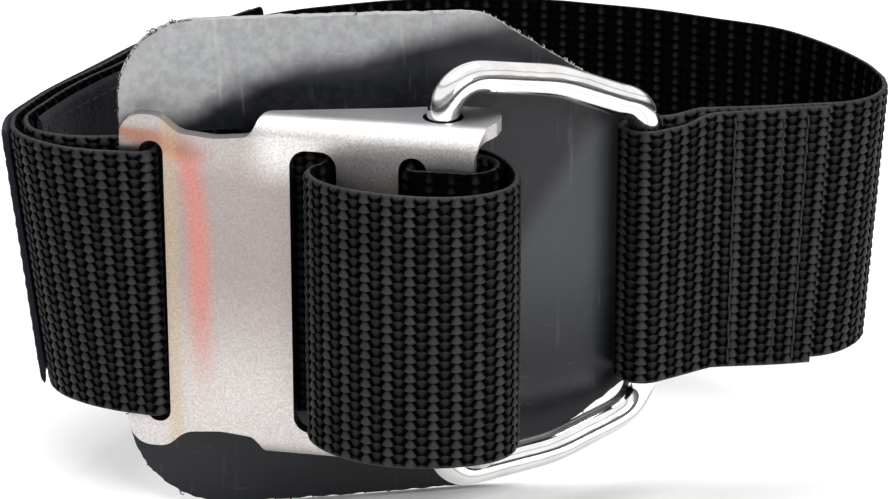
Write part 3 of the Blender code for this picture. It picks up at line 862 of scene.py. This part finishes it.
def pad_rubber(name):
    """Black rubber sheet: a painted grey reflection towards one corner, a painted pale reflection band,
    and pale strokes and scuffs.
    """
    n = Nodes(name)
    place = n.place()
    mottle = n.noise(place, 0.55, 5.0, 0.65)
    cloud = n.noise(place, 0.045, 3.0, 0.5, 0.6)
    across, _, up = n.split(place)
    strokes = n.noise(n.place(scale=(1.0, 1.0, 0.10), turn=14.0), 0.42, 3.0, 0.6)
    fine = n.noise(n.place(scale=(1.0, 1.0, 0.07), turn=-24.0), 1.1, 2.0, 0.6)
    cross = n.noise(n.place(scale=(0.08, 1.0, 1.0), turn=8.0), 0.9, 2.0, 0.6)
    marks = n.highest(n.ramp(strokes, 0.60, 0.76), n.ramp(fine, 0.66, 0.78, 0.0, 0.8))
    marks = n.highest(marks, n.ramp(cross, 0.66, 0.78, 0.0, 0.7))
    marks = n.times(marks, n.ramp(cloud, 0.34, 0.60, 0.25, 1.0))
    # Painted reflection: a grey sheet of reflected light towards the upper left corner.
    left = n.highest(n.minus(-38.0, across), 0.0)
    corner = n.minus(up, n.times(across, 0.2))
    corner = n.plus(corner, n.times(left, 0.35))
    corner_reflection = n.ramp(n.plus(corner, n.times(cloud, 8.0)), *REFLECTION_EDGE)
    corner_reflection = n.times(corner_reflection, n.ramp(mottle, 0.3, 0.7, 0.75, 1.05))
    # Painted reflection: a pale band to the right of a slope, across the pad's middle height.
    beside = n.minus(n.times(across, PALE_REFLECTION_NORMAL[0]), n.times(up, PALE_REFLECTION_NORMAL[1]))
    band = n.times(n.ramp(beside, 7.0, 12.0), n.ramp(up, -24.0, 2.0))
    band = n.times(band, n.ramp(up, 30.0, 22.0))
    colour = n.mix(n.times(band, 0.75), (0.007, 0.008, 0.011), (0.050, 0.053, 0.056))
    colour = n.mix(corner_reflection, colour, (0.32, 0.325, 0.33))
    lighter = n.mix(0.6, colour, (0.50, 0.51, 0.51))
    colour = n.mix(n.times(marks, n.ramp(corner_reflection, 0.0, 0.6, 0.14, 0.75)), colour, lighter)
    rough = n.plus(n.ramp(mottle, 0.3, 0.7, 0.28, 0.42), n.times(marks, 0.25))
    height = n.plus(n.times(mottle, 0.5), n.times(marks, 0.5))
    n.set(base_color=colour, roughness=rough, ior=1.40, coat_weight=0.0, coat_roughness=0.12,
          normal=n.bump(height, 0.05, 0.5))
    return n.finish


def plain(name, colour, roughness):
    n = Nodes(name)
    tone = n.noise(n.place(), 1.3, 3.0)
    darker = tuple(c * 0.6 for c in colour)
    n.set(base_color=n.mix(tone, darker, colour), roughness=roughness)
    return n.finish


WEB = nylon("nylon_webbing", (0.0195, 0.0195, 0.0208), (0.0012, 0.0012, 0.0014))
THREAD = sewing("black_thread")
HOOK = fuzz("hook_pile", (0.006, 0.006, 0.010), (0.024, 0.023, 0.034))
LOOPS = fuzz("loop_pile", (0.004, 0.004, 0.005), (0.020, 0.020, 0.023))
STEEL = blasted_steel("bead_blasted_steel")
RIM = polished_steel("polished_rim", 0.10)
WIRE = polished_steel("polished_wire", 0.07, (0.12, 0.12, 1.0), dark_reflection_lines=True)
RUBBER = pad_rubber("pad_rubber")
CUT_RUBBER = plain("cut_rubber", (0.010, 0.010, 0.012), 0.7)
CURL = plain("rubber_curl", (0.016, 0.016, 0.018), 0.6)
SHAVING = plain("rubber_shaving", (0.38, 0.38, 0.33), 0.8)


def dress(obj, slot_name, *finishes):
    obj.data.materials.clear()
    for finish in finishes:
        obj.data.materials.append(finish)
    return obj


# ---------------------------------------------------------------- webbing pieces

def carried(obj, body, node):
    """The piece rides on the body and stands in for the CAD node."""
    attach(obj, body)
    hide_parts(node)


def build_main_webbing():
    """Sewn fold, ring and the run through the pad's slot, as four lengths of one strip."""
    slot_exit = MAIN_LENGTH - 6.0
    marks = (0.0, 62.0, 145.0, 236.0, slot_exit)
    for i, (first, last) in enumerate(zip(marks, marks[1:])):
        name = ("webbing_fold", "webbing_right", "webbing_back", "webbing_left")[i]
        both_fine = {"inner_shade": 1.0, "coarse": FINE_STEPS} if i == 0 else {}
        strip = webbing(name, between(MAIN, first, last), -1.0, first, **both_fine)
        piece = dress(strip, "nylon_webbing", WEB)
        carried(piece, "band", "main_webbing")


def build_feed():
    """The run from the pad's slot to the front loop bends at the bail and at the lever."""
    feed = [MAIN[-1], on_plate(*FEED_START), on_plate(*LOOP[0])]
    whole = softened(np.concatenate((between(MAIN, MAIN_LENGTH - 6.0, MAIN_LENGTH), feed[1:])), 1.0)
    reach = distances(whole)[-1]
    near_end = 9.0
    near = dress(webbing("webbing_feed_near", between(whole, 0.0, near_end), 1.0, -reach),
                 "nylon_webbing", WEB)
    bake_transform(near)
    far = dress(webbing("webbing_feed_far", between(whole, near_end, reach), 1.0, near_end - reach),
                "nylon_webbing", WEB)
    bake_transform(far)
    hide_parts("woven_webbing")


def build_woven():
    """Front loop, then the weave through the plate's slots to the crossbar."""
    path = softened([on_plate(*p) for p in LOOP + WEAVE], 0.5)
    total = distances(path)[-1]
    cut = 96.0
    for name, first, last in (("webbing_front_loop", 0.0, cut), ("webbing_weave", cut, total)):
        piece = dress(webbing(name, between(path, first, last), 1.0, first), "nylon_webbing", WEB)
        carried(piece, "cam_lever", "woven_webbing")
    return path


def build_tail(woven):
    """Tail: bends at the plate's crossbar and again at the left turn."""
    tail = tail_path()
    start = on_plate(2.2, -1.5)
    tail = softened(np.concatenate((start[None], tail[1:])), 0.6)
    phase = distances(woven)[-1]
    split = 24.0
    bend = 6.0
    front = dress(webbing("webbing_tail_front", between(tail, 0.0, split - bend), 1.0, phase),
                  "nylon_webbing", WEB)
    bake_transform(front)
    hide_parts("tail_webbing_front")
    end_line = between(tail, split - bend, distances(tail)[-1])
    end = dress(webbing("webbing_tail_end", end_line, 1.0, phase + split - bend), "nylon_webbing", WEB)
    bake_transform(end)
    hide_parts("tail_webbing_end")
    return between(tail, split + 0.35, distances(tail)[-1])


def seam_line(path, lift, height):
    """Closed line round a patch, a little inside its edge, with its outward normals."""
    line = resampled(between(path, 2.5, distances(path)[-1] - 2.5), 0.5)
    out = normals_of(line) * np.sign(lift)
    line = line + out * abs(lift)
    rise = np.linspace(-height, height, 90)[1:-1]
    top = np.column_stack((line, np.full(len(line), height)))
    bottom = np.column_stack((line[::-1], np.full(len(line), -height)))
    far = np.column_stack((np.repeat(line[-1:], len(rise), 0), rise[::-1]))
    near = np.column_stack((np.repeat(line[:1], len(rise), 0), rise))
    points = np.concatenate((top, far, bottom, near))
    flat = np.concatenate((out, np.repeat(out[-1:], len(rise), 0), out[::-1],
                           np.repeat(out[:1], len(rise), 0)))
    return points, np.column_stack((flat, np.zeros(len(flat))))


def build_patches(end_line):
    layer = WEB_THICK / 2.0 + GAP + PATCH_THICK / 2.0
    loop_line = offset(between(MAIN, PATCH_START, RING_TAIL_START - 2.0), layer)
    loop_patch = dress(pile("loop_patch_pile", loop_line, 1.0, 1.7, 0.05), "hook_and_loop", LOOPS)
    carried(loop_patch, "band", "loop_patch")
    hook_line = offset(between(end_line, 1.5, distances(end_line)[-1] - 1.0), layer)
    hook_patch = dress(pile("hook_patch_pile", hook_line, 1.0, 4.2, 0.01), "hook_and_loop", HOOK)
    carried(hook_patch, "tail_end", "hook_patch")
    inset = PATCH_WIDTH / 2.0 - 2.5
    for name, line, body, node in (
            ("loop_patch_stitches", loop_line, "band", "loop_patch_seam"),
            ("hook_patch_stitches", hook_line, "tail_end", "hook_patch_seam")):
        surface = seam_line(line, PATCH_THICK / 2.0 - 0.12, inset)
        seam = dress(stitches(name, surface, 2.9, 0.24, closed=True), "thread", THREAD)
        carried(seam, body, node)


def build_fold_rows():
    """Stitch rows across the fold's outer leg."""
    for name, distance in (("inner", 8.0), ("middle", 17.0), ("outer", 21.5)):
        base = LEG_KINK + LEG_DIRECTION * distance - LEG_LEFT * (LEG_SPACING + WEB_THICK / 2.0)
        heights = np.linspace(-WEB_WIDTH / 2.0 + 1.2, WEB_WIDTH / 2.0 - 1.2, 200)
        sway = 0.10 * np.sin(heights * 2.0 * math.pi / 5.2)
        plan = base[None] + LEG_DIRECTION[None] * sway[:, None]
        points = np.column_stack((plan, heights))
        outward = np.column_stack((np.repeat(-LEG_LEFT[None], len(points), 0),
                                   np.zeros(len(points))))
        row = dress(stitches("fold_row_" + name, (points, outward), 2.6, 0.22), "thread", THREAD)
        carried(row, "band", "fold_stitch_" + name)


# ---------------------------------------------------------------- plate, wire and pad

def build_plate():
    """Slotted plate with rounded rims, its flanges bent back to make the ears."""
    middle_radius = BEND_RADIUS - PLATE_THICK / 2.0
    bend_length = middle_radius * math.pi / 2.0

    def flange(depth):
        return BEND_START + bend_length + depth - BEND_RADIUS

    right = PLATE_LENGTH
    upper = [
        (0.0, 26.5, 1.5), (0.0, LOBE_HEIGHT, 4.2), (7.0, LOBE_HEIGHT, 4.0),
        (10.4, VALLEY_HEIGHT + 0.6, 5.0), (17.0, VALLEY_HEIGHT, 10.0),
        (23.6, VALLEY_HEIGHT + 0.7, 3.0), (26.0, flange(4.6), 2.0),
        (48.0, flange(10.6), 8.0), (57.0, flange(13.6), 4.0),
        (right + EAR_OVERHANG, flange(13.4), 4.5), (right + EAR_OVERHANG - 0.4, flange(6.2), 2.5),
        (right, BEND_START - 1.5, 2.0),
    ]
    lower = [(x, -y, radius) for x, y, radius in reversed(upper)]
    outlines = [closed_rounded(upper + lower, 7.5)]
    for (left, far), radius in SLOTS:
        outlines.append(closed_rounded([
            (left, -SLOT_HEIGHT, radius), (far, -SLOT_HEIGHT, radius),
            (far, SLOT_HEIGHT, radius), (left, SLOT_HEIGHT, radius)], 10.0))
    for side in (1.0, -1.0):
        hole = (EAR_PIVOT[0], side * flange(EAR_PIVOT[1]))
        outlines.append(arc(hole, EAR_HOLE_RADIUS, 0.0, 360.0, 9.0)[:-1])
    mesh, shape = sheet_blank("plate", outlines, PLATE_THICK)
    bevel_sheet(shape, 0.55, 3)
    bends = [BEND_START + bend_length * i / 14 for i in range(15)]
    split_at(shape, (0.0, 1.0, 0.0), bends)
    split_at(shape, (0.0, -1.0, 0.0), bends)
    split_at(shape, (0.0, 1.0, 0.0), [-24.0, -16.0, -8.0, 0.0, 8.0, 16.0, 24.0])
    split_at(shape, (1.0, 0.0, 0.0), [1.0, 2.5, 4.5, 7.0, 10.0, 13.0, 16.0, 19.0, 22.0, 24.0, 26.0])
    for vert in shape.verts:
        along, height, depth = vert.co / MM
        excess = abs(height) - BEND_START
        if along > 21.0 and excess > 0.0:
            turn = min(excess / middle_radius, math.pi / 2.0)
            radius = BEND_RADIUS - depth
            straight = max(0.0, excess - bend_length)
            height = math.copysign(BEND_START + radius * math.sin(turn), height)
            depth = BEND_RADIUS - radius * math.cos(turn) + straight
        vert.co = world(np.array((*on_plate(along, depth), height)))
    plate = dress(mesh_piece("steel_plate", mesh, shape), "blasted_steel", STEEL, RIM)
    shade_evenly(plate, 80)
    carried(plate, "cam_lever", "cam_plate")


def build_wire():
    """Bail: both ends enter the ears from outside, the crossbar lies in the fold."""
    pivot = on_plate(*EAR_PIVOT)
    reach = np.array(FOLD_AXIS) - pivot
    length = np.linalg.norm(reach)
    direction = reach / length
    upper = [(0.0, WIRE_END_HEIGHT, 0.0), (0.0, BAIL_SPREAD, 7.0),
             (0.55 * length, BAIL_MIDDLE, 28.0), (length, BAIL_NARROW + 1.1, 6.5)]
    lower = [(x, -z, radius) for x, z, radius in reversed(upper)]
    lower[-2] = (0.0, -BAIL_SPREAD, 5.0)
    line = resampled(rounded(upper + lower, 3.0), 0.8)
    line = softened(line, 1.6, 0.5)
    off_ends = np.clip((np.abs(line[:, 1]) - WIRE_END_HEIGHT) / 3.0, 0.0, 1.0)
    inward = np.maximum(off_ends, np.clip((line[:, 0] - 3.0) / 4.0, 0.0, 1.0))
    line[:, 1] += np.maximum(BAIL_SHEAR * (20.0 - line[:, 0]), -SHEAR_LIMIT) * inward
    centre = np.column_stack((pivot[None] + direction[None] * line[:, :1], line[:, 1:]))
    run = distances(line)
    from_end = np.minimum(run, run[-1] - run)
    radius = WIRE_RADIUS - 0.5 * np.clip(1.0 - from_end / 0.6, 0.0, 1.0)
    wire = dress(tube("bail_wire", centre, radius, 40), "polished_wire", WIRE)
    carried(wire, "bail", "wire_bail")


def pad_place(along, height, depth):
    """World place in millimetres of a point on the pad's flat blank."""
    direction = unit(PAD_FLAT_SLOPE)
    left = np.array((-direction[1], direction[0]))
    start = np.array(PAD_FRONT_LEFT) + left * (PAD_THICK / 2.0)
    flat = np.minimum(along, PAD_BEND_AT)
    beyond = np.maximum(along - PAD_BEND_AT, 0.0)
    curl = math.radians(PAD_CURL) / 7.0
    slope = math.radians(PAD_FLAT_SLOPE) + curl * beyond
    if beyond > 0.0:
        base = start + direction * flat
        base = base + np.array((
            (math.sin(slope) - math.sin(math.radians(PAD_FLAT_SLOPE))) / curl,
            (math.cos(math.radians(PAD_FLAT_SLOPE)) - math.cos(slope)) / curl))
    else:
        base = start + direction * flat
    side = np.array((-math.sin(slope), math.cos(slope)))
    lean = 0.9 * max(0.0, (height - 6.0) / 41.0) ** 2.0
    clear_of_fold = min(max((80.0 - along) / 15.0, 0.0), 1.0)
    lean += 0.25 * clear_of_fold * math.sin(along * 0.11 + 0.6) * math.sin(height * 0.09)
    plan = base + side * (depth - PAD_THICK / 2.0 + lean)
    fall = PAD_TOP_FALL * max(along - 15.0, 0.0) * max(height / PAD_HALF_HEIGHT, 0.0) ** 2.0
    return np.array((plan[0], plan[1], height - fall))


def ragged(outline, amount, pitch):
    """Outline with the small uneven bites of a hand-cut edge."""
    closed = np.concatenate((outline, outline[:1]))
    line = resampled(closed, pitch)[:-1]
    ahead = np.roll(line, -1, axis=0) - np.roll(line, 1, axis=0)
    ahead /= np.linalg.norm(ahead, axis=1)[:, None]
    out = np.stack((ahead[:, 1], -ahead[:, 0]), axis=1)
    bites = RNG.normal(0.0, 1.0, len(line))
    bites = 0.6 * bites + 0.4 * np.roll(bites, 1)
    return line + out * (bites * amount)[:, None]


def build_pad():
    upper = [(0.0, PAD_HALF_HEIGHT, 13.5), (64.8, PAD_HALF_HEIGHT, 9.0), (97.5, 24.0, 9.0)]
    lower = [(x, -y, radius) for x, y, radius in reversed(upper[1:])] + [(0.0, -PAD_HALF_HEIGHT, 19.0)]
    outline = ragged(np.array(closed_rounded(upper + lower, 6.0)), 0.10, 0.7)
    near, far = PAD_SLOT
    slot = closed_rounded([(near, -26.0, 2.0), (far, -26.0, 2.0),
                           (far, 26.0, 2.0), (near, 26.0, 2.0)], 15.0)
    mesh, shape = sheet_blank("pad", [outline, slot], PAD_THICK)
    bevel_sheet(shape, 0.16, 2)
    split_at(shape, (1.0, 0.0, 0.0), np.arange(4.0, 97.0, 4.0))
    split_at(shape, (0.0, 1.0, 0.0), np.arange(-44.0, 46.0, 4.0))
    for vert in shape.verts:
        along, height, depth = vert.co / MM
        vert.co = world(pad_place(along, height, depth))
    pad = dress(mesh_piece("rubber_pad", mesh, shape), "pad_rubber", RUBBER, CUT_RUBBER)
    shade_evenly(pad)
    carried(pad, "pad", "friction_pad")
    return outline


def build_shavings(outline):
    """Curls of rubber left on the pad's cut edges: dark on the left, pale on the slope."""
    closed = np.concatenate((outline, outline[:1]))
    run = distances(closed)
    stations = RNG.uniform(0.0, run[-1], 2600)
    dark, pale = [], []
    for at in stations:
        x, y = (float(np.interp(at, run, closed[:, k])) for k in (0, 1))
        size = RNG.uniform(0.15, 0.6)
        turns = RNG.uniform(0.2, 0.6)
        lean = RNG.uniform(0.0, 2.0 * math.pi)
        thick = RNG.uniform(0.08, 0.16)
        keep = RNG.uniform()
        on_left = x < 14.0 and y > 20.0
        on_slope = 54.0 < x < 84.0 and y > 26.0
        if not (on_left and keep < 0.5 or on_slope and keep < 0.55 or keep < 0.035):
            continue
        steps = np.linspace(0.0, 1.0, 8)
        angle = lean + steps * turns * 2.0 * math.pi
        radius = size * (1.0 - 0.35 * steps) * (0.55 if on_slope else 1.0)
        start = pad_place(min(max(x, 0.0), 97.0), y, 0.1)
        centre = np.column_stack((radius * np.cos(angle), steps * size * 0.8 - 0.2,
                                  radius * np.sin(angle)))
        (pale if on_slope else dark).append((centre - centre[0] + start, thick))
    for name, bits, finish in (("pad_curls", dark, CURL), ("pad_burrs", pale, SHAVING)):
        shape = bmesh.new()
        for centre, thick in bits:
            piece = tube("bit", centre, thick * np.linspace(1.0, 0.5, len(centre)), 5)
            shape.from_mesh(piece.data)
            bpy.data.objects.remove(piece, do_unlink=True)
        curls = dress(mesh_piece(name, bpy.data.meshes.new(name), shape), "pad_rubber", finish)
        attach(curls, "pad")


# ---------------------------------------------------------------- studio

CAMERA_LENS = 137.2
CAMERA_PLACE = (-1.7, -596.4, 220.9)
CAMERA_PITCH = 21.0             # degrees below level
FLOOR_GAP = 0.0002              # metres between the floor and the lowest point
DIFFUSE_SKY = 0.45              # strength of the sky for all but mirror-like reflections


def area_light(name, place, target, size, power):
    data = bpy.data.lights.new(name, "AREA")
    data.shape = "RECTANGLE"
    data.size, data.size_y = size
    data.energy = power
    lamp = placed(name, data)
    lamp.location = place
    aim = Vector(target) - Vector(place)
    lamp.rotation_euler = aim.to_track_quat("-Z", "Y").to_euler()


def build_studio():
    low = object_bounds()[0]
    floor_mesh = bpy.data.meshes.new("studio_floor")
    shape = bmesh.new()
    bmesh.ops.create_grid(shape, x_segments=4, y_segments=4, size=3.0)
    for vert in shape.verts:
        vert.co.z = low[2] - FLOOR_GAP
    shape.to_mesh(floor_mesh)
    shape.free()
    floor = placed("studio_floor", floor_mesh)
    n = Nodes("floor_paper")
    n.set(base_color=(0.90, 0.90, 0.90), roughness=0.9, specular_ior_level=0.1)
    floor_mesh.materials.append(n.finish)

    surround = bpy.data.worlds.new("studio_world")
    bpy.context.scene.world = surround
    surround.use_nodes = True
    nodes, links = surround.node_tree.nodes, surround.node_tree.links
    sky = nodes["Background"]
    path = nodes.new("ShaderNodeLightPath")
    level = nodes.new("ShaderNodeMapRange")
    level.inputs["To Min"].default_value = DIFFUSE_SKY
    level.inputs["To Max"].default_value = 1.0
    links.new(path.outputs["Is Glossy Ray"], level.inputs["Value"])
    links.new(level.outputs[0], sky.inputs["Strength"])
    ray = nodes.new("ShaderNodeTexCoord")
    parts = nodes.new("ShaderNodeSeparateXYZ")
    fade = nodes.new("ShaderNodeValToRGB")
    links.new(ray.outputs["Generated"], parts.inputs[0])
    links.new(parts.outputs[2], fade.inputs[0])
    links.new(fade.outputs[0], sky.inputs["Color"])
    fade.color_ramp.elements[0].color = (0.10, 0.10, 0.11, 1.0)
    fade.color_ramp.elements[0].position = 0.12
    fade.color_ramp.elements[1].color = (1.0, 1.0, 1.0, 1.0)
    fade.color_ramp.elements[1].position = 0.30

    area_light("softbox_top", (-0.10, 0.15, 0.90), (0.0, 0.0, 0.0), (0.9, 0.5), 10.0)
    area_light("softbox_front", (0.45, -0.80, 0.50), (0.02, 0.0, 0.0), (0.5, 0.35), 9.0)

    data = bpy.data.cameras.new("camera")
    data.lens = CAMERA_LENS
    data.sensor_width = 36.0
    data.clip_start = 0.01
    camera = placed("camera", data)
    camera.location = world(np.array(CAMERA_PLACE))
    camera.rotation_euler = (math.radians(90.0 - CAMERA_PITCH), 0.0, 0.0)
    bpy.context.scene.camera = camera
    bpy.context.scene.view_settings.view_transform = "Standard"


build_main_webbing()
build_feed()
WOVEN = build_woven()
END_LINE = build_tail(WOVEN)
build_patches(END_LINE)
build_fold_rows()
build_plate()
build_wire()
PAD_OUTLINE = build_pad()
build_shavings(PAD_OUTLINE)
build_studio()
